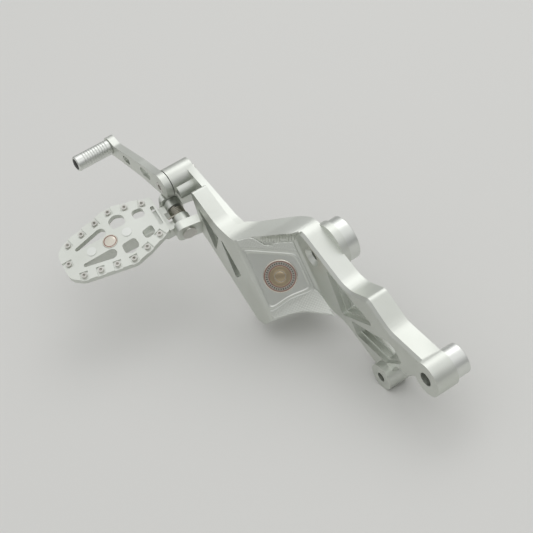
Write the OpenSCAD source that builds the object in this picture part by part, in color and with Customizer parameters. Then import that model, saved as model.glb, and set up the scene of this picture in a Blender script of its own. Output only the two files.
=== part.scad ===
// Left forward control for a motorcycle: a machined aluminium bracket that
// carries a folding footpeg with a studded tread and a toe lever.
// X points rearward, Y inboard, Z up. The origin is the centre of the rear
// mounting eye on the outer face of the bracket.

/* [Bracket arm] */
// Length of the bracket from the rear mounting eye to the lever's pivot
bracket_l = 297.5; // [280:0.5:315]
// Thickness of the rear arm
arm_t = 19.5; // [16:0.5:24]
// Bevel along the outer edges of the bracket
bevel = 2.4; // [1:0.2:3]
// Radius of the rear mounting eye
eye_r = 16; // [14:0.5:19]
// Diameter of the bolt hole in the rear eye
eye_bore_d = 12.5; // [8:0.5:14]
// Radius of the lower mounting ear
ear_r = 12; // [10.5:0.5:14]
// Diameter of the bolt hole in the lower ear
ear_bore_d = 8.5; // [6:0.5:10]
// How far the lower ear stands out from the arm
ear_proud = 7; // [4:0.5:9]
// Radius of the upper mounting boss
boss_r = 21; // [20:0.5:24]
// Diameter of the upper bolt hole
boss_bore_d = 10.5; // [8:0.5:12]
// Diameter of the countersink of the upper bolt hole
sink_d = 18; // [15:0.5:20]

/* [Front block] */
// How far the front block is set outboard of the arm
offset_out = 42; // [38:1:46]
// Thickness of the front block
block_t = 21; // [18:0.5:24]
// Angle of the sloped panel to the arm, seen along its corner
panel_angle = 60; // [55:1:65]
// Thickness of the pivot flange
flange_t = 7; // [5:0.5:9]

/* [Spacers] */
// Radius of the upper spacer
spacer_r = 19.5; // [17:0.5:20.5]
// Length of the upper spacer
spacer_l = 11; // [8:0.5:20]
// Height of the raised ring that the upper spacer seats on
ring_h = 6; // [4:0.5:8]
// Radius of the rear spacer
rear_spacer_r = 13.5; // [11:0.5:15]
// Length of the rear spacer
rear_spacer_l = 14; // [8:0.5:20]

/* [Footpeg] */
// Length of the tread
tread_l = 97; // [80:1:110]
// Greatest width of the tread
tread_w = 67.6; // [60:0.4:76]
// Thickness of the tread plate
tread_t = 5.5; // [4:0.5:7]
// Gap between the clevis arms
clevis_gap = 27.5; // [25:0.5:30]
// Thickness of each clevis arm
clevis_t = 9; // [7:0.5:10]
// Height of the clevis arms
clevis_h = 17; // [16:0.5:19]
// Diameter of the clevis pin
pin_d = 8; // [6:0.5:9]
// Side clearance of the peg between the clevis arms
side_gap = 0.4; // [0.2:0.1:0.8]
// Clearance all round the clevis pin in the peg
pin_gap = 0.08; // [0.04:0.02:0.1]

/* [Toe lever] */
// Length of the lever from its pivot to the toe peg
lever_l = 95; // [80:1:105]
// Thickness of the lever
lever_t = 7; // [5:0.5:9]
// Radius of the lever hub and of the pivot boss
hub_r = 12.8; // [12:0.1:14]
// Diameter of the pivot shaft
shaft_d = 10; // [8:0.5:12]
// Length of the toe peg
toe_l = 36; // [30:1:45]
// Diameter of the toe peg
toe_d = 15; // [13:0.5:19]

/* [Hidden] */

steps = 8;
silver = [0.80, 0.82, 0.80];
steel = [0.62, 0.62, 0.62];
bronze = [0.66, 0.52, 0.30];

// Planes of the bracket, by their place along Y
arm_y = 1;
arm_in = arm_y + arm_t;
block_y = arm_y - offset_out;
block_in = block_y + block_t;
flange_y = block_in - flange_t;

// Lengths along X in the side view are drawn for this length of bracket
drawn_l = 297.5;
stretch = bracket_l/drawn_l;
bevel_from = -159*stretch;

// Outline [x, z, radius] with its lengths along X fitted to the bracket
function fitted(c) = [for (q = c) [q.x*stretch, q.y, q.z]];

// Centres of the mounting holes in the side view
boss_at = [-146.5*stretch, 37.5];
ear_at = [-57.5*stretch, -35];
pivot_at = [-bracket_l, 62];

// Corner between the front block and the sloped panel
seam_top = [-198*stretch, 51.4];
seam_dir = 63.3;
seam_r = 4;
lip_turn = -29.3;
saddle_r = 60;
saddle_turn = 12;

// Toe lever and its pivot
pivot_l = 18.5;
washer_t = 0.6;
play = 0.05;
boss_y = flange_y - pivot_l;
lever_in = boss_y - washer_t - 2*play;
lever_out = lever_in - lever_t;
lever_drop = 3.3;
lever_end_r = 9;
lever_flat = 7.6;
toe_at = pivot_at + [-lever_l, -lever_drop];
bush_wall = 1.5;
bush_l = 10;
bush_gap = 0.03;
clip_t = 1.2;
clip_step = 0.8;
rib_pitch = 2.6;
rib_depth = 0.45;
toe_bolt_d = 6;

// Clevis, in the frame of the pin: X along the pin, Y inboard, Z up
pin_at = [-284*stretch, -48.6, 36.8];
peg_turn = [9, 17, -8];
clevis_lift = -13;
arm_out = 11;
front_t = 7;
pin_hole_at = [-262.7*stretch, 53.5];
pin_hole_r = 1.5;
arm_end_r = 6;
pin_head_t = 2;
pin_head_r = pin_d/2 + 2.5;
lock_d = 5;
lock_head_r = 3.4;
lock_lift = 0.5;
lock_l = (clevis_h - pin_d)/2 + lock_lift;

// Peg core and its spring
prong_t = 8.2;
tang_w = clevis_gap - 2*side_gap;
tang_r = 8;
tang_web = 13;
core_w = 19;
core_tip_w = 13;
core_h = 11;
wire_d = 1.8;
coil_turns = 4;
coil_gap = 0.6;

// Tread, in the peg's frame
tread_mid = -4.3;
tread_in = 14;
tread_z = 8;
tread_root_w = 41;
tread_waist_w = 59;
tread_far_w = 46;
tread_tip_w = 28;
wide_at = 39;
waist_at = 23;
far_at = tread_l - 10;
stud_start = 9.5;
stud_pitch = 15;
stud_rows = 6;
stud_in = 5.4;
stud_d = 5.4;
stud_top = 0.9;
stud_seat = 1.1;
seat_w = 7.6;
badge_r = 7;
badge_at = 50.2;
screw_r = 4.4;
screw_at = [33.5, 68.7];

// Steps of the windows
step_h = 4.5;
step_in = 1.9;

// Panel medallion
medal_r = 14.8;
medal_t = 1.2;
medal_out = 0.3;
medal_along = 44.2;
medal_up = 23.1;

function unit(v) = v / norm(v);

// Points of the round that joins the line a-b to the line b-c
function fillet(a, b, c, r) =
    let (u = unit(a - b), w = unit(c - b), half = acos(u*w)/2,
         o = b + unit(u + w)*r/sin(half), p = b + u*r/tan(half),
         q = b + w*r/tan(half), a0 = atan2(p.y - o.y, p.x - o.x),
         a1 = atan2(q.y - o.y, q.x - o.x),
         d = ((a1 - a0 + 540) % 360) - 180, n = max(2, ceil(abs(d)/steps)))
    [for (i = [0:n]) o + r*[cos(a0 + d*i/n), sin(a0 + d*i/n)]];

// Outline whose corners are rounded; each corner is [x, y, radius]
function rounded(corners) =
    let (n = len(corners))
    [for (i = [0:n - 1])
        let (a = corners[(i + n - 1) % n], b = corners[i], c = corners[(i + 1) % n])
        each b.z == 0 ? [[b.x, b.y]]
            : fillet([a.x, a.y], [b.x, b.y], [c.x, c.y], b.z)];

// The same outline moved inward by d, for an outline that runs clockwise
function inset(pts, d) =
    let (n = len(pts))
    [for (i = [0:n - 1])
        let (a = unit(pts[i] - pts[(i + n - 1) % n]), b = unit(pts[(i + 1) % n] - pts[i]),
             na = [a.y, -a.x], nb = [b.y, -b.x])
        pts[i] + (na + nb)*d/(1 + na*nb)];

// A flat shape in the side view, thick from y0 to y1
module slab(y0, y1) {
    translate([0, y1, 0])
        rotate([90, 0, 0])
            linear_extrude(y1 - y0)
                children();
}

// What a bevel of c takes off the edges of a face at y0, behind the line x0
module edge_bevel(pts, y0, c, x0) {
    n = len(pts);
    difference() {
        translate([x0, y0 - 0.9, -90])
            cube([30 - x0, c + 1.3, 180]);
        polyhedron(
            points = concat([for (p = inset(pts, c + 1)) [p.x, y0 - 1, p.y]],
                [for (p = inset(pts, -0.5)) [p.x, y0 + c + 0.5, p.y]]),
            faces = concat([[for (i = [0:n - 1]) i]], [[for (i = [n - 1:-1:0]) n + i]],
                [for (i = [0:n - 1]) [i, n + i, n + (i + 1) % n, (i + 1) % n]]));
    }
}

// A cylinder along Y
module bar_y(at, y0, y1, r) {
    translate([at.x, y1, at.y])
        rotate([90, 0, 0])
            cylinder(r = r, h = y1 - y0, $fn = 72);
}

// Corners [x, z, radius] of the side outline, clockwise from the front end wall
top_side = [
    [-262, 72.5, 3], [-226, 52, 30], [-205, 50, 30], [-182, 53.5, 40],
    [-158, 58.5, 24], [-101, 28, 30], [-69.5, 38.6, 7], [-46, 20, 26], [-3, 15, 0]];
low_side = [
    [-62.5, -44, 0], [-112.5, -15.7, 26], [-136, -14.5, 24], [-152, -12.8, 24], [-163, -18.8, 6],
    [-177.5, -31.8, 3], [-189.5, -35.2, 3], [-252, 19.4, 3], [-256, 29.5, 3]];
eye_side = [[-8, -7, 0], [-23, -15, 6], [-30, -21, 8], [-42, -17, 8], [-47, -27, 0]];
side_outline = rounded(fitted(concat(top_side, eye_side, low_side)));

// Corners of an outline moved inward by d, with their rounds drawn tighter
function smaller(corners, d) =
    let (p = inset([for (c = corners) [c.x, c.y]], d))
    [for (i = [0:len(p) - 1]) [p[i].x, p[i].y, max(0.8, corners[i].z - d/2)]];

// Window in the side view, with two narrower steps below its mouth
module stepped_window(corners, y0, y1) {
    for (k = [0:2])
        slab(y0 - 1 - k, k == 2 ? y1 + 1 : y0 + (k + 1)*step_h)
            polygon(rounded(smaller(fitted(corners), k*step_in)));
}

// Region between the block's face and the arm's face that the slope leaves open
module slope_cut() {
    run = offset_out/tan(panel_angle);
    difference() {
        translate([seam_top.x, 0, seam_top.y])
            rotate([0, seam_dir - 90, 0])
                translate([0, 0, -160])
                    linear_extrude(230)
                        polygon(rounded([[-12, block_y - 2, 0], [-9, block_y - 0.2, 0],
                            [0, block_y, seam_r], [run, arm_y, 6], [260, arm_y, 0],
                            [260, block_y - 60, 0], [-12, block_y - 60, 0]]));
        lip();
        saddle();
    }
}

// Lip along the top of the panel, hollowed below by a widening round cutter
module lip() {
    difference() {
        linear_extrude(90)
            polygon(rounded(fitted([[-215, -15, 0], [-199, block_y + 1, 0], [-189, -27, 20], [-176, -17, 20],
                [-163, -5, 10], [bevel_from/stretch, arm_y + 5, 0], [-215, arm_y + 5, 0]])));
        translate([-194.6*stretch, -42.2, 53.3])
            rotate([0, 90 + 9.3, 40.8])
                cylinder(r1 = 3, r2 = 17, h = 60.8, $fn = 96);
        at_seam()
            rotate(lip_turn)
                translate([0.8, -30, -10])
                    cube([90, 130, 60]);
    }
}

// Bottom of the panel flared outward by a large round cutter lying across it
module saddle() {
    at_seam()
        translate([76, 0, 0])
            rotate(saddle_turn)
                difference() {
                    translate([-4, 2, -3])
                        cube([36, 55, 22]);
                    translate([-sqrt(0.9*saddle_r), 0, saddle_r - 0.45])
                        rotate([-90, 0, 0])
                            translate([0, 0, -40])
                                cylinder(r = saddle_r, h = 140, $fn = 240);
                }
}

// The bracket: one machined piece
module bracket() {
    color(silver) {
        difference() {
            union() {
                bracket_body();
                flange();
                clevis_arms();
                bar_y([0, 0], 0, arm_in, eye_r);
                bar_y(ear_at, arm_y - ear_proud, arm_in - 7, ear_r);
                bar_y(pivot_at + [8, -8], flange_y - 16, flange_y + 1, 10);
                bar_y(boss_at, arm_in - 1, arm_in + ring_h, boss_r);
            }
            bracket_holes();
            arm_windows();
            block_windows();
            clevis_space();
            medal_seat();
        }
    }
}

module bracket_body() {
    difference() {
        intersection() {
            slab(block_y, arm_in)
                polygon(side_outline);
            plan_shape();
        }
        slope_cut();
        edge_bevel(side_outline, arm_y, bevel, bevel_from);
    }
}

// What is kept in the plan view: the arm, the ramp and the front block
module plan_shape() {
    translate([0, 0, -100])
        linear_extrude(220)
            polygon(rounded(fitted([[-270, block_y - 1, 0], [-270, flange_y, 0], [-214, flange_y + 0.3, 3],
                [-212, block_in + 1.5, 3], [-176, arm_in + 1, 34], [-160, arm_in + 1, 0],
                [40, arm_in + 1, 0], [40, block_y - 1, 0]])));
}

// Thin flange that carries the pivot boss
module flange() {
    slab(flange_y, block_in)
        polygon(rounded(fitted([[-308, 62, 0], [-293, 73, 0], [-226, 50.8, 30], [-200, 49.4, 0],
            [-196, 20, 0], [-250, 21, 10], [-289, 30, 8]])));
    bar_y(pivot_at, boss_y, block_in, hub_r);
}

// Children placed in the frame of the clevis arms
module at_clevis() {
    translate(pin_at)
        rotate(peg_turn + [clevis_lift, 0, 0])
            children();
}

// Children placed in the frame of the folding peg
module at_peg() {
    translate(pin_at)
        rotate(peg_turn)
            children();
}

// A cylinder along the clevis pin, from x0 to x1
module bar_x(x0, x1, r) {
    translate([x0, 0, 0])
        rotate([0, 90, 0])
            cylinder(r = r, h = x1 - x0, $fn = 48);
}

module clevis_arms() {
    at_clevis() {
        clevis_arm(-clevis_gap/2 - front_t, front_t, 24, 5);
        clevis_arm(clevis_gap/2, clevis_t, 26, 2);
        translate([clevis_gap/2 + 2, 12.5, -clevis_h/2 + 0.7])
            cube([16, 13, clevis_h - 1.6]);
    }
}

// One arm: rounded at its end in the side view and in the plan
module clevis_arm(x, t, reach, nose) {
    half = clevis_h/2;
    intersection() {
        translate([x - 1, 0, 0])
            rotate([90, 0, 90])
                linear_extrude(t + 2)
                    polygon(rounded([[reach, half, 0], [reach, -half, 0], [-arm_out, -half, arm_end_r],
                        [-arm_out, half, arm_end_r]]));
        translate([0, 0, -half - 1])
            linear_extrude(clevis_h + 2)
                polygon(rounded([[x, reach - 0.2, 0], [x + t, reach - 0.2, 0],
                    [x + t, -arm_out + 0.2, 1.8], [x, -arm_out + 0.2, nose]]));
    }
}

// Room for the folding peg between the arms
module clevis_space() {
    at_clevis()
        translate([-clevis_gap/2, -arm_out - 2, -clevis_h])
            cube([clevis_gap, arm_out + 22, 2*clevis_h]);
}

module bracket_holes() {
    bar_y([0, 0], -1, arm_in + 1, eye_bore_d/2);
    bar_y(ear_at, arm_y - ear_proud - 1, arm_in, ear_bore_d/2);
    bar_y(boss_at, arm_y - 1, arm_in + ring_h + 1, boss_bore_d/2);
    translate([boss_at.x, arm_y - 1, boss_at.y])
        rotate([-90, 0, 0])
            cylinder(d1 = sink_d + 2, d2 = boss_bore_d - 1, h = (sink_d - boss_bore_d)/2 + 1.5, $fn = 72);
    bar_y(pivot_at, boss_y - 1, block_in + 1, shaft_d/2 + bush_wall);
    bar_y(pin_hole_at, flange_y - 2, flange_y + 4, pin_hole_r);
    at_clevis() {
        bar_x(-clevis_gap/2 - front_t - 1, clevis_gap/2 + clevis_t + 1, pin_d/2);
        translate([-clevis_gap/2 - front_t/2, 0, 0]) {
            cylinder(d = lock_d, h = clevis_h, $fn = 32);
            translate([0, 0, clevis_h/2 + lock_lift - 0.2])
                cylinder(r = lock_head_r + 0.6, h = clevis_h, $fn = 40);
        }
    }
}

// Two windows in the arm, each narrowing in two steps
module arm_windows() {
    stepped_window([[-126.5, 36, 1.5], [-66, 11, 2.5], [-113.5, -6.5, 2.5]], arm_y, arm_in);
    stepped_window([[-101, -5, 2], [-70, 1, 25], [-43, 8, 12], [-33, -8, 3], [-57, -23, 4], [-96, -18, 3]],
        arm_y, arm_in);
}

// Two slender windows in the front block
module block_windows() {
    stepped_window([[-256, 56, 1.2], [-228.5, 36, 2], [-240, 15, 2]], block_y, block_in);
    stepped_window([[-226, 41, 1.2], [-201, 10, 2], [-212.5, 0, 2]], block_y, block_in);
}

// Children placed at the top of the seam: X down the panel, Y across it, Z out of it
module at_seam() {
    translate([seam_top.x, block_y, seam_top.y])
        rotate([0, seam_dir, 0])
            rotate([90 - panel_angle, 0, 0])
                children();
}

module at_panel() {
    at_seam()
        translate([medal_along, medal_up, 0])
            children();
}

module medal_seat() {
    at_panel()
        translate([0, 0, -(medal_t - medal_out)])
            cylinder(r = medal_r, h = medal_t + 5, $fn = 72);
}

module upper_spacer() {
    color(silver)
        difference() {
            bar_y(boss_at, arm_in + ring_h, arm_in + ring_h + spacer_l, spacer_r);
            bar_y(boss_at, arm_in, arm_in + ring_h + spacer_l + 1, boss_bore_d/2);
        }
}

module rear_spacer() {
    color(silver)
        difference() {
            bar_y([0, 0], arm_in, arm_in + rear_spacer_l, rear_spacer_r);
            bar_y([0, 0], arm_in - 1, arm_in + rear_spacer_l + 1, eye_bore_d/2);
        }
}

module panel_medallion() {
    color(silver)
        at_panel()
            translate([0, 0, -(medal_t - medal_out)])
                cylinder(r = medal_r - play, h = medal_t, $fn = 72);
}

// Set screw that holds the clevis pin in the front arm
module pin_lock_screw() {
    color(steel)
        at_clevis()
            translate([-clevis_gap/2 - front_t/2, 0, pin_d/2])
                difference() {
                    union() {
                        cylinder(d = lock_d, h = lock_l + 1, $fn = 32);
                        translate([0, 0, lock_l])
                            cylinder(r1 = lock_head_r, r2 = 2.2, h = 1.8, $fn = 40);
                    }
                    translate([0, 0, lock_l + 0.4])
                        cylinder(d = 2.8, h = 3, $fn = 6);
                }
}

// Clevis pin: head behind the rear arm, end flush with the front arm
module clevis_pin() {
    head = clevis_gap/2 + clevis_t;
    color(steel)
        at_clevis() {
            bar_x(-clevis_gap/2 - front_t, head + 1, pin_d/2);
            bar_x(head, head + pin_head_t, pin_head_r);
        }
}

// Folding peg: two prongs round the pin, a web and the bar under the tread
module peg_core() {
    half = tang_w/2;
    color(silver)
        at_peg()
            difference() {
                union() {
                    bar_x(-half, -half + prong_t, tang_r);
                    bar_x(half - prong_t, half, tang_r);
                    prong(-half);
                    prong(half - prong_t);
                    core_bar();
                }
                bar_x(-half - 1, half + 1, pin_d/2 + pin_gap);
                tread_screw_holes();
                translate([tread_mid, -tread_in - badge_at, -core_h])
                    cylinder(d = 5, h = 2*core_h, $fn = 32);
            }
}

module prong(x) {
    translate([x, -tang_web - 1, -tang_r + 1])
        cube([prong_t, tang_web + 1, tread_z - tread_t + tang_r - 1]);
}

// Bar under the tread, tapering to its tip
module core_bar() {
    top = tread_z - tread_t;
    half = tang_w/2;
    translate([0, 0, top - core_h])
        linear_extrude(core_h)
            polygon(rounded([[-half, -tang_web + 2, 0], [half, -tang_web + 2, 0], [half, -tang_web - 5, 3],
                [tread_mid + core_w/2, -tang_web - 16, 12], [tread_mid + core_tip_w/2, -tread_in - tread_l + 12, 5],
                [tread_mid - core_tip_w/2, -tread_in - tread_l + 12, 5],
                [tread_mid - core_w/2, -tang_web - 16, 12], [-half, -tang_web - 5, 3]]));
}

// Return spring: turns round the pin, one leg under the web of the peg
module peg_spring() {
    inner = tang_w/2 - prong_t - coil_gap;
    ring_r = pin_d/2 + 1.2 + wire_d/2;
    pitch = (2*inner - wire_d)/(coil_turns - 1);
    color(steel)
        at_peg() {
            for (i = [0:coil_turns - 1])
                translate([-inner + wire_d/2 + i*pitch, 0, 0])
                    rotate([0, 90, 0])
                        rotate_extrude($fn = 40)
                            translate([ring_r, 0])
                                circle(d = wire_d, $fn = 16);
            translate([0, 0, -ring_r])
                rotate([0, 90, 0])
                    cylinder(d = wire_d*0.8, h = 2*inner - wire_d, center = true, $fn = 16);
            translate([inner - wire_d/2, 0, ring_r])
                rotate([90, 0, 0])
                    cylinder(d = wire_d, h = tang_web - 2.2, $fn = 16);
        }
}

// Half width of the tread at a distance along it from its inner end
function tread_half(l) = lookup(l, [[0, tread_root_w/2], [waist_at, tread_waist_w/2],
    [wide_at, tread_w/2], [far_at, tread_far_w/2], [tread_l, tread_tip_w/2]]);

// Outline of the tread from its half widths, the same on both sides
tread_side = [[tread_root_w/2, 0, 3], [tread_waist_w/2, waist_at, 30], [tread_w/2, wide_at, 14],
    [tread_far_w/2, far_at, 14], [tread_tip_w/2, tread_l, 12]];
tread_outline = rounded(concat([for (c = tread_side) [c.x, -c.y, c.z]],
    [for (i = [len(tread_side) - 1:-1:0]) let (c = tread_side[i]) [-c.x, -c.y, c.z]]));

// Place of each stud on the tread and the turn of its seat
studs = concat(
    [for (i = [0:stud_rows - 1], m = [-1, 1])
        let (l = stud_start + i*stud_pitch, a = tread_half(l - 2), b = tread_half(l + 2))
        [m*(tread_half(l) - stud_in), -l, m*atan2(b - a, 4)]],
    [[0, -tread_l + stud_in, 90]]);

// Children placed on the tread: origin at the middle of its inner end, on its top
module on_tread() {
    at_peg()
        translate([tread_mid, -tread_in, tread_z])
            children();
}

module tread_plate() {
    color(silver)
        on_tread()
            difference() {
                translate([0, 0, -tread_t])
                    linear_extrude(tread_t)
                        difference() {
                            polygon(tread_outline);
                            tread_windows();
                        }
                for (s = studs)
                    translate([s.x, s.y, 0])
                        stud_seat_cut(s);
                translate([0, -badge_at, -1])
                    cylinder(r = badge_r, h = 2, $fn = 48);
                for (l = screw_at)
                    translate([0, -l, -tread_t - 1])
                        cylinder(r = screw_r, h = tread_t + 2, $fn = 40);
            }
}

// Square seat of one stud, open to the rim, and its threaded hole
module stud_seat_cut(s) {
    out = s.x > 0.1 ? 1 : (s.x < -0.1 ? -1 : 0);
    rotate(out == 0 ? -90 : s.z)
        translate([out < 0 ? -stud_in - 3 : -seat_w/2, -seat_w/2, -stud_seat])
            cube([seat_w/2 + stud_in + 3, seat_w, 2]);
    translate([0, 0, -tread_t - 1])
        cylinder(d = stud_d - 1, h = tread_t + 2, $fn = 24);
}

// Openings that lighten the tread
module tread_windows() {
    for (m = [-1, 1]) {
        polygon(rounded([[m*5.5, -11.5, 2.5], [m*15.5, -11.5, 3.5], [m*17.5, -22, 3.5], [m*7.5, -22, 2.5]]));
        polygon(rounded([[m*8.5, -30, 3.5], [m*19, -29, 5.5], [m*23, -37, 5.5], [m*19.5, -44, 4], [m*9.5, -43, 2.5]]));
        hull() {
            translate([m*12.5, -54.5])
                circle(r = 5, $fn = 32);
            translate([m*9.5, -79])
                circle(r = 1.8, $fn = 32);
        }
    }
    hull()
        for (m = [-1, 1])
            translate([m*9.5, -3.6])
                circle(r = 1.7, $fn = 24);
}

module tread_studs() {
    color(steel)
        on_tread()
            for (s = studs)
                translate([s.x, s.y, 0])
                    difference() {
                        union() {
                            translate([0, 0, -tread_t])
                                cylinder(d = stud_d - 1, h = tread_t, $fn = 24);
                            translate([0, 0, -stud_seat])
                                cylinder(d = stud_d, h = stud_seat + stud_top, $fn = 24);
                        }
                        translate([0, 0, stud_top - 2])
                            cylinder(d = 2.9, h = 3, $fn = 6);
                    }
}

module tread_screw_holes() {
    translate([tread_mid, -tread_in, tread_z])
        for (l = screw_at)
            translate([0, -l, -tread_t - 8])
                cylinder(d = 5, h = 8 + tread_t, $fn = 32);
}

// Two plain-headed screws that hold the tread on the core
module tread_screws() {
    color(silver)
        on_tread()
            for (l = screw_at)
                translate([0, -l, 0]) {
                    translate([0, 0, -tread_t])
                        cylinder(r = screw_r, h = tread_t + 0.5, $fn = 40);
                    translate([0, 0, -tread_t - 7.5])
                        cylinder(d = 5, h = 8, $fn = 32);
                }
}

module tread_medallion() {
    color(silver)
        on_tread()
            translate([0, -badge_at, -1])
                cylinder(r = badge_r - play, h = 1.3, $fn = 48);
}

// Plain bush in one end of the pivot boss
module bush(y0) {
    color(bronze)
        difference() {
            bar_y(pivot_at, y0, y0 + bush_l, shaft_d/2 + bush_wall);
            bar_y(pivot_at, y0 - 1, y0 + bush_l + 1, shaft_d/2 + bush_gap);
        }
}

module front_bush() {
    bush(boss_y);
}

module rear_bush() {
    bush(block_in - bush_l);
}

module lever() {
    tip = toe_at;
    color(silver)
        difference() {
            union() {
                bar_y(pivot_at, lever_out, lever_in, hub_r);
                bar_y(tip, lever_out, lever_in, lever_end_r);
                slab(lever_out, lever_in)
                    polygon(rounded([[pivot_at.x - 1, pivot_at.y + hub_r - 0.4, 0],
                        [pivot_at.x - 34, pivot_at.y + 9.8, 40], [tip.x + 12, tip.y + 6, 10],
                        [tip.x + 2, tip.y + lever_end_r - 0.4, 0], [tip.x + 2, tip.y - lever_end_r + 0.4, 0],
                        [tip.x + 16, tip.y - 7, 20], [pivot_at.x - 34, pivot_at.y - lever_flat + 0.6, 30],
                        [pivot_at.x, pivot_at.y - lever_flat - 0.5, 0]]));
            }
            translate([pivot_at.x - 20, lever_out - 1, pivot_at.y - lever_flat - 20])
                cube([40, lever_t + 2, 20]);
            bar_y(pivot_at, lever_out - 1, lever_in + 1, shaft_d/2);
            bar_y(tip, lever_out - 1, lever_in + 1, toe_bolt_d/2);
            bar_y(tip, lever_in - 3.5, lever_in + 1, toe_bolt_d/2 + 2.4);
            lever_slot([-61, -1.6], 3.4, 6);
            lever_slot([-24.5, 2.4], 4.2, 9.5);
        }
}

// Oblong opening through the lever
module lever_slot(at, r, l) {
    slab(lever_out - 1, lever_in + 1)
        translate(pivot_at + at)
            rotate(4) {
                translate([-l/2, -r])
                    square([l, 2*r]);
                for (m = [-1, 1])
                    translate([m*l/2, 0])
                        circle(r = r, $fn = 40);
            }
}

// Shaft fixed in the lever, turning in the bushes
module pivot_shaft() {
    end = block_in + play + clip_t + washer_t + 1.6;
    color(steel)
        difference() {
            bar_y(pivot_at, lever_out, end, shaft_d/2);
            difference() {
                bar_y(pivot_at, end - 1.6 - clip_t, end - 1.6, shaft_d);
                bar_y(pivot_at, lever_out, end, shaft_d/2 - clip_step);
            }
            bar_y(pivot_at, lever_out - 1, lever_out + 1.2, 2.6);
        }
}

module thrust_washer() {
    color(steel)
        difference() {
            bar_y(pivot_at, boss_y - play - washer_t, boss_y - play, hub_r - 4);
            bar_y(pivot_at, boss_y - 5, boss_y + 1, shaft_d/2 + bush_gap);
        }
}

module shaft_washer() {
    color(steel)
        difference() {
            bar_y(pivot_at, block_in + play/2, block_in + play/2 + washer_t, shaft_d/2 + 4);
            bar_y(pivot_at, block_in - 1, block_in + 5, shaft_d/2 + bush_gap);
        }
}

module shaft_clip() {
    y0 = block_in + play + washer_t;
    color(steel)
        difference() {
            bar_y(pivot_at, y0 + play/2, y0 + clip_t - play/2, shaft_d/2 + 2);
            bar_y(pivot_at, y0 - 1, y0 + clip_t + 1, shaft_d/2 - clip_step);
            translate([pivot_at.x - shaft_d*0.16, y0 - 1, pivot_at.y - shaft_d])
                cube([shaft_d*0.32, clip_t + 2, shaft_d]);
        }
}

// Toe peg with turned ribs, hollow at its outer end for the cap
module toe_peg() {
    ribs = floor((toe_l - 8)/rib_pitch);
    r = toe_d/2;
    groove = rib_pitch*0.35;
    color(silver)
        translate([toe_at.x, lever_out, toe_at.y])
            rotate([90, 0, 0])
                rotate_extrude($fn = 64)
                    polygon(concat([[toe_bolt_d/2, 0], [r - 0.6, 0], [r, 0.6]],
                        [for (i = [0:ribs - 1], q = [[0, 0], [rib_depth, groove/2], [0, groove]])
                            [r - q.x, 4 + i*rib_pitch + q.y]],
                        [[r, toe_l - 0.8], [r - 0.8, toe_l], [r - 2, toe_l], [r - 2, toe_l - 3],
                         [toe_bolt_d/2 - 0.5, toe_l - 3], [toe_bolt_d/2 - 0.5, 20], [toe_bolt_d/2, 20]]));
}

// Screw that holds the toe peg, let into the inboard side of the lever
module toe_peg_bolt() {
    color(steel)
        difference() {
            union() {
                bar_y(toe_at, lever_in - 3.5, lever_in - 0.2, toe_bolt_d/2 + 2.2);
                bar_y(toe_at, lever_out - 18, lever_in - 3.4, toe_bolt_d/2);
            }
            translate([toe_at.x, lever_in + 1, toe_at.y])
                rotate([90, 0, 0])
                    cylinder(d = 4.6, h = 3.4, $fn = 6);
        }
}

// Domed plug in the outer end of the toe peg
module toe_end_cap() {
    r = toe_d/2 - 2;
    dome = 1.3;
    ball = (r*r + dome*dome)/(2*dome);
    color([0.12, 0.12, 0.12])
        translate([toe_at.x, lever_out - toe_l, toe_at.y])
            rotate([90, 0, 0])
                rotate_extrude($fn = 64)
                    polygon(concat([[0, -2.9], [r, -2.9], [r, 0]],
                        [for (i = [1:6]) let (x = r*(1 - i/6)) [x, sqrt(ball*ball - x*x) - ball + dome]]));
}

bracket();
upper_spacer();
rear_spacer();
panel_medallion();
pin_lock_screw();
clevis_pin();
peg_core();
peg_spring();
tread_plate();
tread_studs();
tread_screws();
tread_medallion();
front_bush();
rear_bush();
lever();
pivot_shaft();
thrust_washer();
shaft_washer();
shaft_clip();
toe_peg();
toe_peg_bolt();
toe_end_cap();
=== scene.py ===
import math

import bmesh
import bpy
import numpy as np
from mathutils import Matrix, Vector
from mathutils.bvhtree import BVHTree


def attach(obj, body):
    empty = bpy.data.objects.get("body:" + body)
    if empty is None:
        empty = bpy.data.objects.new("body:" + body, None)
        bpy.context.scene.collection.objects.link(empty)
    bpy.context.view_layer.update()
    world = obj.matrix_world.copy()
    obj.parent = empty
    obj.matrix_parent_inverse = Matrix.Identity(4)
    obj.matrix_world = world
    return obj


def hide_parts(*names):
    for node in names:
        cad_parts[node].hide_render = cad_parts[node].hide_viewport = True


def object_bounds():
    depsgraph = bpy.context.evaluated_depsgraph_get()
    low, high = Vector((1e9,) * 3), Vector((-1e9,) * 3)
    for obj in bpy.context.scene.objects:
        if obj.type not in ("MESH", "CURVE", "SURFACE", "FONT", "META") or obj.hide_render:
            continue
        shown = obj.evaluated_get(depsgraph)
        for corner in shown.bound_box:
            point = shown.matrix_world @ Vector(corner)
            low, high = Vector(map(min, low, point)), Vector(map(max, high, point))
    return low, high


bl_info = {
    "name": "Forward control with footpeg and toe lever",
    "version": (1, 0, 0),
    "blender": (4, 5, 0),
    "location": "3D View > Sidebar > Forward control",
    "description": "Dresses the machined bracket, the folding footpeg and the toe lever",
    "category": "Object",
}

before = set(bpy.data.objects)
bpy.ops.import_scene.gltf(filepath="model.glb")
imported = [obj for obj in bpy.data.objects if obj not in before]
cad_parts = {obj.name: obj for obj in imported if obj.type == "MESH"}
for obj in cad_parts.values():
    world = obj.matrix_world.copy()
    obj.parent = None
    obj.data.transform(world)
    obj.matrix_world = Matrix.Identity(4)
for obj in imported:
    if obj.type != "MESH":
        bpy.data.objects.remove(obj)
CAD_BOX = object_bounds()
MM = 0.001

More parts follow.
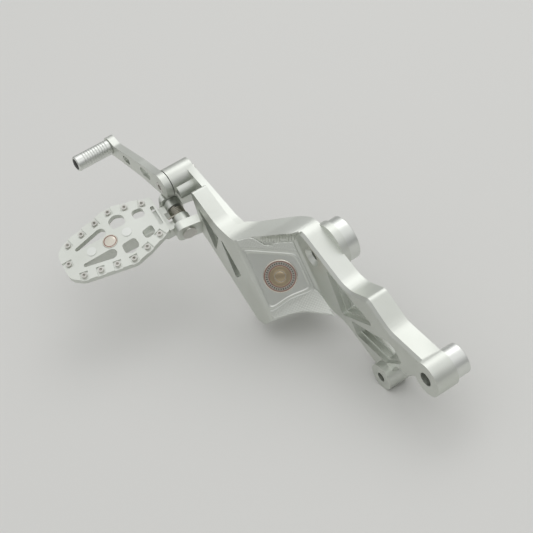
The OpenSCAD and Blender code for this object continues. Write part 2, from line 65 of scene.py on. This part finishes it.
# Frames of the machined parts, as the part's source gives them, in millimetres
PIN_AT = (-284.0, -48.6, 36.8)
PEG_TURN = (9.0, 17.0, -8.0)
TREAD_MID, TREAD_IN, TREAD_Z = -4.3, 14.0, 8.0
BADGE_AT = 50.2
SEAM_TOP = (-198.0, -41.0, 51.4)
SEAM_DIR = 63.3
PANEL_ANGLE = 60.0
MEDAL_ALONG, MEDAL_UP, MEDAL_R = 44.2, 23.1, 14.8
SADDLE_FROM, SADDLE_TURN, SADDLE_R = 76.0, 12.0, 60.0
LIP_FROM, LIP_TO, LIP_R1, LIP_R2 = (-194.6, -42.2, 53.3), 60.8, 3.0, 17.0
LIP_TURN = (99.3, 40.8)

# Sunk smooth field of the panel: its corners (u, v) in the panel's plane, and the bulge into its lower edge
FIELD_CORNERS = ((13, 5), (67, 4), (63.3, 42.2), (32.5, 42))
FIELD_SOFT = 0.6
BULGE, BULGE_AT, BULGE_SIZE = 2.2, (67, 24), (9, 12)
# Milled skin, in millimetres: step of its grid, how near and how parallel to the bracket's face it has to be,
# how deep its border sinks and over how many steps of the grid
SKIN_STEP = 0.3
SKIN_NEAR, SKIN_FACING = 0.08, 0.85
SKIN_SINK, SKIN_BORDER = 0.15, 6
# How far the lowest line of the saddle's round lies under the panel's plane
SADDLE_CUT = 0.45

# Angles in degrees above which an edge is shaded sharp: of a new piece, of a wire, and of a machined part,
# where it is also rounded
SHARP_PIECE, SHARP_WIRE, SHARP_EDGE = 40, 50, 28
# Points of a machined part this near are merged, and edges this short are taken out, in metres
MERGE, SHORTEST = 2e-6, 1e-6

# The photograph's width and focal length in pixels, and the camera fitted to it
PHOTO_WIDTH, FOCAL = 533, 1499.54
CAMERA_AT = (0.70727, -0.43960, 0.83415)
CAMERA_AXES = ((0.5489, 0.8153, -0.1843), (-0.4600, 0.4787, 0.7479), (0.6980, -0.3257, 0.6377))
# Half of the floor's side, in metres
FLOOR_HALF = 4
# Name, place in metres, diameter in metres and watts of each lamp, and the point they face
LAMPS = (("key", (-0.9, 0.9, 1.5), 1.5, 5.0), ("fill", (0.9, -0.2, 1.6), 1.4, 2.0))
LIT_POINT = (-0.16, -0.03, 0.01)


def turn(degrees, axis):
    """4x4 turn about a main axis."""
    return Matrix.Rotation(math.radians(degrees), 4, axis)


def place(x, y, z):
    """4x4 shift, given in millimetres."""
    return Matrix.Translation((x * MM, y * MM, z * MM))


PEG = place(*PIN_AT) @ turn(PEG_TURN[2], "Z") @ turn(PEG_TURN[1], "Y") @ turn(PEG_TURN[0], "X")
PANEL = place(*SEAM_TOP) @ turn(SEAM_DIR, "Y") @ turn(90 - PANEL_ANGLE, "X")


def linear(hex_colour):
    """sRGB hex, such as D6D8D2, to linear RGBA."""
    c = [int(hex_colour[i:i + 2], 16) / 255 for i in (0, 2, 4)]
    return tuple(v / 12.92 if v <= 0.04045 else ((v + 0.055) / 1.055) ** 2.4 for v in c) + (1.0,)


def add_node(tree, kind, settings=None, links=None):
    """Adds a node, sets its attributes and sockets, and links its inputs to the sockets given."""
    node = tree.nodes.new(kind)
    for key, value in (settings or {}).items():
        if isinstance(key, str) and hasattr(node, key):
            setattr(node, key, value)
        else:
            node.inputs[key].default_value = value
    for key, source in (links or {}).items():
        tree.links.new(source, node.inputs[key])
    return node


def start_material(name):
    """An empty node material with its Principled shader and its output."""
    m = bpy.data.materials.new(name)
    m.use_nodes = True
    tree = m.node_tree
    tree.nodes.clear()
    shader = add_node(tree, "ShaderNodeBsdfPrincipled")
    add_node(tree, "ShaderNodeOutputMaterial", links={"Surface": shader.outputs["BSDF"]})
    coordinates = add_node(tree, "ShaderNodeTexCoord")
    return m, tree, shader, coordinates.outputs["Object"]


def metal(name, light, dark, rough, grain_mm, grain_depth, metallic=1.0):
    """A finish whose colour drifts between two hex values over about 45 mm and whose skin has a fine grain.

    grain_mm is the size of the grain in millimetres and grain_depth its height in millimetres.
    """
    m, tree, shader, at = start_material(name)
    drift = add_node(tree, "ShaderNodeTexNoise", {"Scale": 22.0, "Detail": 3.0}, {"Vector": at})
    tint = add_node(tree, "ShaderNodeValToRGB", links={"Fac": drift.outputs["Fac"]})
    tint.color_ramp.elements[0].position, tint.color_ramp.elements[1].position = 0.3, 0.7
    tint.color_ramp.elements[0].color = linear(dark)
    tint.color_ramp.elements[1].color = linear(light)
    grain = add_node(tree, "ShaderNodeTexNoise", {"Scale": 1000.0 / grain_mm, "Detail": 2.0}, {"Vector": at})
    gloss = add_node(tree, "ShaderNodeMapRange", {"To Min": rough - 0.05, "To Max": rough + 0.05},
                     {"Value": grain.outputs["Fac"]})
    bump = add_node(tree, "ShaderNodeBump", {"Distance": grain_depth * MM, "Strength": 1.0},
                    {"Height": grain.outputs["Fac"]})
    tree.links.new(tint.outputs["Color"], shader.inputs["Base Color"])
    tree.links.new(gloss.outputs["Result"], shader.inputs["Roughness"])
    tree.links.new(bump.outputs["Normal"], shader.inputs["Normal"])
    shader.inputs["Metallic"].default_value = metallic
    return m


def make_materials():
    """Every finish of the object, by a short key."""
    # Bead-blasted and clear-anodised aluminium: pale, even, with a soft wide sheen
    blasted = metal("Bead-blasted anodised aluminium", "DDE0DA", "D3D6CF", 0.42, 0.5, 0.02)
    # The same aluminium as the ball-nosed cutter left it: a little brighter on its fine ridges
    milled = metal("Milled anodised aluminium", "DDE0DA", "D3D6CF", 0.36, 0.5, 0.01)
    # Turned aluminium: the same skin, a little brighter
    turned = metal("Turned anodised aluminium", "E4E6E2", "DADDD8", 0.34, 0.6, 0.01)
    # Stainless steel: darker and glossier than the aluminium
    stainless = metal("Turned stainless steel", "D2D1CC", "BEBDB7", 0.24, 0.7, 0.008)
    # Spring steel: dark, oiled
    spring = metal("Oiled spring steel", "B4B1A6", "8E8B80", 0.28, 0.6, 0.01)
    # Sintered bronze of the bushes
    bronze = metal("Sintered bronze", "B08A56", "957346", 0.45, 0.35, 0.02)
    # Polished nickel plate of the two discs
    plate = metal("Polished nickel plate", "DDD8CE", "CFC9BC", 0.2, 1.2, 0.003)
    # Brushed bronze of the large disc's middle: warm, a little duller than the rim
    warm = metal("Brushed bronze plate", "BFB096", "AB9B80", 0.3, 0.8, 0.004)
    # Fired enamel in the discs' grooves: warm red brown, glassy
    enamel = metal("Fired enamel", "9A5A48", "7E4436", 0.2, 1.0, 0.003, metallic=0.0)
    enamel.node_tree.nodes["Principled BSDF"].inputs["Coat Weight"].default_value = 0.6
    # Moulded rubber-like nylon of the end cap
    nylon = metal("Moulded black nylon", "2B2B2A", "222221", 0.5, 0.4, 0.02, metallic=0.0)
    return {"blasted": blasted, "milled": milled, "turned": turned, "stainless": stainless, "spring": spring,
            "bronze": bronze, "plate": plate, "warm": warm, "enamel": enamel, "nylon": nylon}


FINISHES = {}
NODE_FINISH = {
    "bracket": "blasted", "upper_spacer": "turned", "rear_spacer": "turned",
    "panel_medallion": "plate", "pin_lock_screw": "stainless", "clevis_pin": "stainless",
    "peg_core": "blasted", "peg_spring": "spring", "tread_plate": "blasted",
    "tread_studs": "stainless", "tread_screws": "turned", "tread_medallion": "plate",
    "front_bush": "bronze", "rear_bush": "bronze",
    "lever": "blasted", "pivot_shaft": "stainless", "thrust_washer": "stainless",
    "shaft_washer": "stainless", "shaft_clip": "stainless", "toe_peg": "turned",
    "toe_peg_bolt": "stainless", "toe_end_cap": "nylon",
}
# Slot of the record, body and edge round in millimetres of each node that is shown as a finished copy
FINISHED = {
    "bracket": ("aluminium", "bracket", 0.45), "upper_spacer": ("aluminium", "bracket", 0.5),
    "rear_spacer": ("aluminium", "bracket", 0.5), "peg_core": ("aluminium", "footpeg", 0.4),
    "tread_plate": ("aluminium", "footpeg", 0.4), "tread_studs": ("steel", "footpeg", 0.15),
    "tread_screws": ("polished", "footpeg", 0.3), "lever": ("aluminium", "toe_lever", 0.25),
    "toe_peg": ("aluminium", "toe_lever", 0.12),
}


def link(name, mesh, material, body):
    """An object of the mesh, linked to the scene with its material, riding on a body."""
    mesh.materials.clear()
    mesh.materials.append(material)
    obj = bpy.data.objects.new(name, mesh)
    bpy.context.scene.collection.objects.link(obj)
    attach(obj, body)
    return obj


def shade(mesh, degrees):
    """Shades smooth, with edges sharper than the angle left sharp."""
    mesh.shade_smooth()
    mesh.set_sharp_from_angle(angle=math.radians(degrees))


def new_piece(name, points, faces, matrix, material, body, sharp=SHARP_PIECE):
    """A mesh piece from points in millimetres, put in place by matrix; flat shaded where sharp is None."""
    mesh = bpy.data.meshes.new(name)
    faces = faces if isinstance(faces, list) else faces.tolist()
    mesh.from_pydata((np.asarray(points) * MM).tolist(), [], faces)
    mesh.transform(matrix)
    if sharp is not None:
        shade(mesh, sharp)
    return link(name, mesh, material, body)


def grid_faces(rows, columns, wrap_columns=False):
    """Quads of a grid of rows x columns points, with its last column joined to its first if asked."""
    i = np.arange(rows - 1)[:, None]
    j = np.arange(columns if wrap_columns else columns - 1)[None, :]
    i2, j2 = i + 1, (j + 1) % columns
    quad = np.stack([i * columns + j, i2 * columns + j, i2 * columns + j2, i * columns + j2], -1)
    return quad.reshape(-1, 4)


def lathe(profile, segments):
    """Surface of a profile (r, z), in millimetres, turned about Z: (r cos a, r sin a, z), a in 0..360 degrees."""
    profile = np.asarray(profile, float)
    a = np.linspace(0, 2 * np.pi, segments, endpoint=False)
    points = np.stack([np.outer(profile[:, 0], np.cos(a)), np.outer(profile[:, 0], np.sin(a)),
                       np.repeat(profile[:, 1:2], segments, 1)], -1).reshape(-1, 3)
    return points, grid_faces(len(profile), segments, wrap_columns=True)


def sweep_round(path, radius, sides):
    """Closed round wire along a path: path + radius (cos b n + sin b m), n and m square to the path."""
    path = np.asarray(path, float)
    along = np.gradient(path, axis=0)
    along /= np.linalg.norm(along, axis=1)[:, None]
    n = np.cross(along, [0.31, 0.2, 0.93])
    n /= np.linalg.norm(n, axis=1)[:, None]
    m = np.cross(along, n)
    b = np.linspace(0, 2 * np.pi, sides, endpoint=False)
    ring = np.cos(b)[None, :, None] * n[:, None] + np.sin(b)[None, :, None] * m[:, None]
    points = (path[:, None] + radius * ring).reshape(-1, 3)
    faces = grid_faces(len(path), sides, wrap_columns=True)[:, ::-1].tolist()
    last = (len(path) - 1) * sides
    caps = [list(range(sides)), list(range(last + sides - 1, last - 1, -1))]
    return points, faces + caps


def finished_copy(node, body, edge_mm, material):
    """A merged copy of a node with its edges rounded, shown in the node's place."""
    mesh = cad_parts[node].data.copy()
    mesh.name = node + "_finished"
    if "custom_normal" in mesh.attributes:
        mesh.attributes.remove(mesh.attributes["custom_normal"])
    bm = bmesh.new()
    bm.from_mesh(mesh)
    bmesh.ops.remove_doubles(bm, verts=bm.verts, dist=MERGE)
    bmesh.ops.dissolve_degenerate(bm, edges=bm.edges, dist=SHORTEST)
    bm.to_mesh(mesh)
    bm.free()
    shade(mesh, SHARP_EDGE)
    obj = link(node + "_finished", mesh, material, body)
    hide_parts(node)
    edge = obj.modifiers.new("Edge round", "BEVEL")
    edge.width = edge_mm * MM
    edge.segments = 2
    edge.limit_method = "ANGLE"
    edge.angle_limit = math.radians(SHARP_EDGE)
    edge.use_clamp_overlap = True
    edge.harden_normals = True
    edge.miter_outer = "MITER_ARC"


class ControlSizes(bpy.types.PropertyGroup):
    """Sizes of the details that the scene adds."""

    wire: bpy.props.FloatProperty(name="Spring wire", description="Diameter of the return spring's wire",
                                  default=1.8 * MM, unit="LENGTH")
    coils: bpy.props.IntProperty(name="Spring turns", description="Turns of the return spring", default=5)
    ripple: bpy.props.FloatProperty(name="Ripple pitch", description="Step of the ball-nosed cutter on the panel",
                                    default=2.4 * MM, unit="LENGTH")


class ControlColours(bpy.types.PropertyGroup):
    """Colours of the stage."""

    floor: bpy.props.FloatVectorProperty(name="Floor", description="Colour of the floor", subtype="COLOR",
                                         size=4, default=linear("D9D9D6"))


class CONTROL_OT_nodes(bpy.types.Operator):
    """Gives every part from the frame its finish, with rounded edges where they show."""

    bl_idname = "control.nodes"
    bl_label = "Machined parts"

    def execute(self, context):
        for node, key in NODE_FINISH.items():
            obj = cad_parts[node]
            obj.data.materials.clear()
            obj.data.materials.append(FINISHES[key])
        for node, (slot, body, edge_mm) in FINISHED.items():
            finished_copy(node, body, edge_mm, FINISHES[NODE_FINISH[node]])
        return {"FINISHED"}


class CONTROL_OT_spring(bpy.types.Operator):
    """Return spring: a helix (x = width t, y = r cos a, z = r sin a, t in 0..1) with one straight leg."""

    bl_idname = "control.spring"
    bl_label = "Return spring"

    def execute(self, context):
        sizes = context.scene.control_sizes
        half, r, points_a_turn = 4.3, 6.1, 40
        t = np.linspace(0, 1, points_a_turn * sizes.coils)
        a = np.pi / 2 + 2 * np.pi * sizes.coils * t
        coil = np.stack([-half + 2 * half * t, r * np.cos(a), r * np.sin(a)], -1)
        leg_y = np.linspace(1.5, 10.5, 8)
        leg = np.stack([np.full(8, half), -leg_y, np.full(8, r)], -1)
        points, faces = sweep_round(np.vstack([coil, leg]), sizes.wire / MM / 2, 12)
        spring = new_piece("return_spring", points, faces, PEG, FINISHES["spring"], "footpeg", SHARP_WIRE)
        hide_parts("peg_spring")
        return {"FINISHED"}


def inside(points, corners):
    """Signed distance of (u, v) points to a convex outline with soft corners: log(sum(exp(k d))) / k.

    d is the distance to each side's line, positive outside, and k is FIELD_SOFT.
    """
    corners = np.asarray(corners, float)
    total = np.zeros(points.shape[:-1])
    for a, b in zip(corners, np.roll(corners, -1, 0)):
        d = (b - a) / np.linalg.norm(b - a)
        far = (points[..., 0] - a[0]) * d[1] - (points[..., 1] - a[1]) * d[0]
        total += np.exp(np.clip(far, -60, 60) * FIELD_SOFT)
    return np.log(total) / FIELD_SOFT


def ease(x, low, high):
    """Smooth step 3 t^2 - 2 t^3 between low and high."""
    t = np.clip((x - low) / (high - low), 0, 1)
    return t * t * (3 - 2 * t)


def skin(name, points, normals, height, matrix):
    """A thin skin on the bracket: points + height * normal, where the bracket's face lies within SKIN_NEAR.

    matrix puts the points, in millimetres, and their normals in place. The skin's border sinks into the bracket.
    """
    matrix = np.array(matrix)
    points = points @ matrix[:3, :3].T + matrix[:3, 3] / MM
    normals = normals @ matrix[:3, :3].T
    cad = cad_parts["bracket"]
    tree = BVHTree.FromPolygons([v.co[:] for v in cad.data.vertices], [p.vertices[:] for p in cad.data.polygons])
    rows, columns = points.shape[:2]
    close = np.zeros((rows, columns), bool)
    for i in range(rows):
        for j in range(columns):
            _, normal, _, gap = tree.find_nearest(Vector(points[i, j] * MM))
            close[i, j] = gap < SKIN_NEAR * MM and normal.dot(Vector(normals[i, j])) > SKIN_FACING
    weight = close.astype(float)
    for _ in range(SKIN_BORDER):
        wide = np.pad(weight, 1)
        around = [wide[1 + a:rows + 1 + a, 1 + b:columns + 1 + b] for a in (-1, 0, 1) for b in (-1, 0, 1)]
        weight = np.minimum(weight, np.mean(around, 0) * close)
    lift = height * ease(weight, 0.1, 0.95) - SKIN_SINK * (1 - ease(weight, 0.0, 0.6))
    placed = points + lift[..., None] * normals
    faces = grid_faces(rows, columns)
    faces = faces[close.reshape(-1)[faces].all(1)]
    used = np.unique(faces)
    index = np.zeros(rows * columns, int)
    index[used] = np.arange(len(used))
    new_piece(name, placed.reshape(-1, 3)[used], index[faces], Matrix.Identity(4), FINISHES["milled"],
              "bracket")


def panel_surface(pitch):
    """Points, normals and heights of the panel's skin, in the panel's plane (u down the slope, v across).

    The saddle rises from the plane as R - c - sqrt(R^2 - x^2), where c is SADDLE_CUT and x the way past the
    lowest line of its round. The ripples, outside the sunk field, are cos(2 pi p / pitch) cos(2 pi q / pitch)
    with p = u + 0.8 v and q = 0.8 u - v.
    """
    u, v = np.meshgrid(np.arange(-2, 110, SKIN_STEP), np.arange(0.5, 66, SKIN_STEP), indexing="ij")
    field = inside(np.stack([u, v], -1), FIELD_CORNERS)
    field += BULGE * np.exp(-sum(((x - at) / size) ** 2 for x, at, size in zip((u, v), BULGE_AT, BULGE_SIZE)))
    across, along = math.cos(math.radians(SADDLE_TURN)), math.sin(math.radians(SADDLE_TURN))
    down = (u - SADDLE_FROM) * across + v * along + math.sqrt(2 * SADDLE_CUT * SADDLE_R)
    fall = np.sqrt(np.maximum(SADDLE_R ** 2 - down ** 2, 1))
    rise = np.where(down > 0, np.maximum(SADDLE_R - SADDLE_CUT - fall, 0), 0)
    slope = np.where(rise > 0, down / fall, 0)
    cross = np.cos(2 * np.pi * (u + 0.8 * v) / pitch) * np.cos(2 * np.pi * (0.8 * u - v) / pitch)
    height = 0.03 + 0.62 * ease(field, -0.5, 0.9) + 0.16 * cross * ease(field, 3.2, 5.0)
    height -= 0.4 * np.exp(-((field - 2.4) / 0.9) ** 2)
    facing = np.stack([-slope * across, -slope * along, np.ones_like(u)], -1)
    facing /= np.linalg.norm(facing, axis=-1)[..., None]
    return np.stack([u, v, rise], -1), facing, height


def cove_surface(pitch):
    """Points, normals and heights of the cone under the lip: r grows along t, with round ribs across it."""
    t, a = np.meshgrid(np.arange(2, LIP_TO, SKIN_STEP), np.radians(np.arange(-180, 180, 1.5)), indexing="ij")
    r = LIP_R1 + (LIP_R2 - LIP_R1) * t / LIP_TO
    facing = np.stack([-np.cos(a), -np.sin(a), np.zeros_like(a)], -1)
    ribs = 0.1 + 0.6 * (0.5 + 0.5 * np.cos(2 * np.pi * t / pitch)) ** 0.7
    return np.stack([r * np.cos(a), r * np.sin(a), t], -1), facing, ribs


class CONTROL_OT_panel_skin(bpy.types.Operator):
    """Milled skin of the sloped panel: cross ripples round a sunk smooth field, ribs in the cove."""

    bl_idname = "control.panel_skin"
    bl_label = "Milled panel"

    def execute(self, context):
        pitch = context.scene.control_sizes.ripple / MM
        skin("panel_skin", *panel_surface(pitch), PANEL)
        cone = place(*LIP_FROM) @ turn(LIP_TURN[1], "Z") @ turn(LIP_TURN[0], "Y")
        skin("cove_skin", *cove_surface(pitch), cone)
        return {"FINISHED"}


def ticks(count, inner, outer, width, low, high):
    """Radial bars round a disc: count boxes from inner to outer radius, width wide, low to high."""
    points, faces = [], []
    box = [(x, y, z) for z in (low, high) for x, y in ((inner, -width / 2), (outer, -width / 2),
                                                         (outer, width / 2), (inner, width / 2))]
    sides = [(0, 3, 2, 1), (4, 5, 6, 7), (0, 1, 5, 4), (1, 2, 6, 5), (2, 3, 7, 6), (3, 0, 4, 7)]
    for k in range(count):
        a = 2 * math.pi * k / count
        points += [(x * math.cos(a) - y * math.sin(a), x * math.sin(a) + y * math.cos(a), z) for x, y, z in box]
        faces += [[8 * k + i for i in side] for side in sides]
    return points, faces


def disc_profile(r, top, bands):
    """Profile of a stamped disc: rim, then a groove 0.35 mm deep between each two radii."""
    profile = [(r, -0.9), (r, top - 0.25), (r - 0.3, top)]
    for outer, inner in bands:
        profile += [(outer, top), (outer - 0.2, top - 0.35), (inner + 0.2, top - 0.35), (inner, top)]
    return profile + [(0.02, top)]


class CONTROL_OT_discs(bpy.types.Operator):
    """The two plain stamped discs: turned rings with enamel bands and a pattern of ticks."""

    bl_idname = "control.discs"
    bl_label = "Stamped discs"

    def execute(self, context):
        at = PANEL @ place(MEDAL_ALONG, MEDAL_UP, 0)
        points, faces = lathe(disc_profile(MEDAL_R - 0.05, 0.75, [(13.6, 13.0), (9.9, 9.3)]), 96)
        disc = new_piece("panel_disc", points, faces[:, ::-1], at, FINISHES["plate"], "bracket")
        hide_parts("panel_medallion")
        for k, (outer, inner) in enumerate([(13.4, 13.2), (9.7, 9.5)]):
            ring, quads = lathe([(outer + 0.15, 0.3), (outer + 0.15, 0.62), (inner - 0.15, 0.62),
                                 (inner - 0.15, 0.3)], 96)
            new_piece(f"panel_disc_enamel_{k}", ring, quads[:, ::-1], at, FINISHES["enamel"], "bracket")
        points, faces = ticks(36, 10.7, 12.3, 0.55, 0.6, 0.86)
        new_piece("panel_disc_ticks", points, faces, at, FINISHES["nylon"], "bracket", sharp=None)
        points, faces = lathe([(9.1, 0.6), (9.1, 0.8), (8.9, 0.86), (5.2, 0.86), (4.9, 0.7), (4.5, 0.7),
                               (4.2, 0.9), (2.4, 1.15), (0.02, 1.25)], 96)
        new_piece("panel_disc_middle", points, faces[:, ::-1], at, FINISHES["warm"], "bracket")
        at = PEG @ place(TREAD_MID, -TREAD_IN - BADGE_AT, TREAD_Z)
        points, faces = lathe([(6.95, -0.9), (6.95, 0.15), (6.7, 0.4), (6.0, 0.4), (5.8, 0.1), (5.4, 0.1),
                               (5.2, 0.35), (3.0, 0.75), (0.02, 0.9)], 64)
        disc = new_piece("tread_disc", points, faces[:, ::-1], at, FINISHES["plate"], "footpeg")
        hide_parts("tread_medallion")
        ring, quads = lathe([(5.85, 0.05), (5.85, 0.3), (5.35, 0.3), (5.35, 0.05)], 64)
        new_piece("tread_disc_enamel", ring, quads[:, ::-1], at, FINISHES["enamel"], "footpeg")
        return {"FINISHED"}


class CONTROL_OT_stage(bpy.types.Operator):
    """Floor, soft light and the camera."""

    bl_idname = "control.stage"
    bl_label = "Stage"

    def execute(self, context):
        scene = context.scene
        corners = [(x * FLOOR_HALF, y * FLOOR_HALF, CAD_BOX[0][2]) for x, y in ((-1, -1), (1, -1), (1, 1), (-1, 1))]
        mesh = bpy.data.meshes.new("floor")
        mesh.from_pydata(corners, [], [(0, 1, 2, 3)])
        floor = bpy.data.objects.new("floor", mesh)
        scene.collection.objects.link(floor)
        m, _, shader, _ = start_material("Plain floor")
        shader.inputs["Base Color"].default_value = tuple(scene.control_colours.floor)
        shader.inputs["Roughness"].default_value = 0.9
        mesh.materials.append(m)

        world = bpy.data.worlds.new("Studio")
        scene.world = world
        world.use_nodes = True
        tree = world.node_tree
        tree.nodes.clear()
        at = add_node(tree, "ShaderNodeTexCoord").outputs["Generated"]
        parts = add_node(tree, "ShaderNodeSeparateXYZ", links={"Vector": at})
        # Dark below the horizon and pale overhead, so that metal shows its form
        sky = add_node(tree, "ShaderNodeMapRange", {"From Min": -0.2, "From Max": 0.9, "To Min": 0.06, "To Max": 0.95},
                       {"Value": parts.outputs["Z"]})
        back = add_node(tree, "ShaderNodeBackground", {"Color": (1, 1, 1, 1)}, {"Strength": sky.outputs["Result"]})
        add_node(tree, "ShaderNodeOutputWorld", links={"Surface": back.outputs["Background"]})

        for name, where, size, watts in LAMPS:
            lamp = bpy.data.lights.new(name, "AREA")
            lamp.shape, lamp.size, lamp.energy = "DISK", size, watts
            obj = bpy.data.objects.new(name, lamp)
            obj.location = where
            obj.rotation_euler = (Vector(LIT_POINT) - Vector(where)).to_track_quat("-Z", "Y").to_euler()
            scene.collection.objects.link(obj)

        camera = bpy.data.cameras.new("camera")
        camera.sensor_width, camera.lens = 36.0, 36.0 * FOCAL / PHOTO_WIDTH
        camera.clip_start, camera.clip_end = 0.05, 20
        obj = bpy.data.objects.new("camera", camera)
        obj.rotation_mode = "QUATERNION"
        obj.rotation_quaternion = Matrix(CAMERA_AXES).transposed().to_quaternion()
        obj.location = CAMERA_AT
        scene.collection.objects.link(obj)
        scene.camera = obj
        scene.view_settings.view_transform = "Standard"
        return {"FINISHED"}


OPERATORS = (CONTROL_OT_stage, CONTROL_OT_nodes, CONTROL_OT_panel_skin, CONTROL_OT_spring, CONTROL_OT_discs)


class CONTROL_PT_panel(bpy.types.Panel):
    """The steps, in the order in which they run."""

    bl_idname = "CONTROL_PT_panel"
    bl_label = "Forward control"
    bl_space_type = "VIEW_3D"
    bl_region_type = "UI"
    bl_category = "Forward control"

    def draw(self, context):
        for name in ("wire", "coils", "ripple"):
            self.layout.prop(context.scene.control_sizes, name)
        self.layout.prop(context.scene.control_colours, "floor")
        for operator in OPERATORS:
            self.layout.operator(operator.bl_idname)


CLASSES = (ControlSizes, ControlColours, *OPERATORS, CONTROL_PT_panel)


def register():
    """Adds the classes and the settings to Blender."""
    for c in CLASSES:
        bpy.utils.register_class(c)
    bpy.types.Scene.control_sizes = bpy.props.PointerProperty(type=ControlSizes)
    bpy.types.Scene.control_colours = bpy.props.PointerProperty(type=ControlColours)


def unregister():
    """Takes them out again."""
    del bpy.types.Scene.control_colours
    del bpy.types.Scene.control_sizes
    for c in reversed(CLASSES):
        bpy.utils.unregister_class(c)


def main():
    """Builds the whole scene."""
    register()
    FINISHES.update(make_materials())
    for operator in OPERATORS:
        getattr(bpy.ops.control, operator.bl_idname.split(".")[1])()


if __name__ == "__main__":
    main()
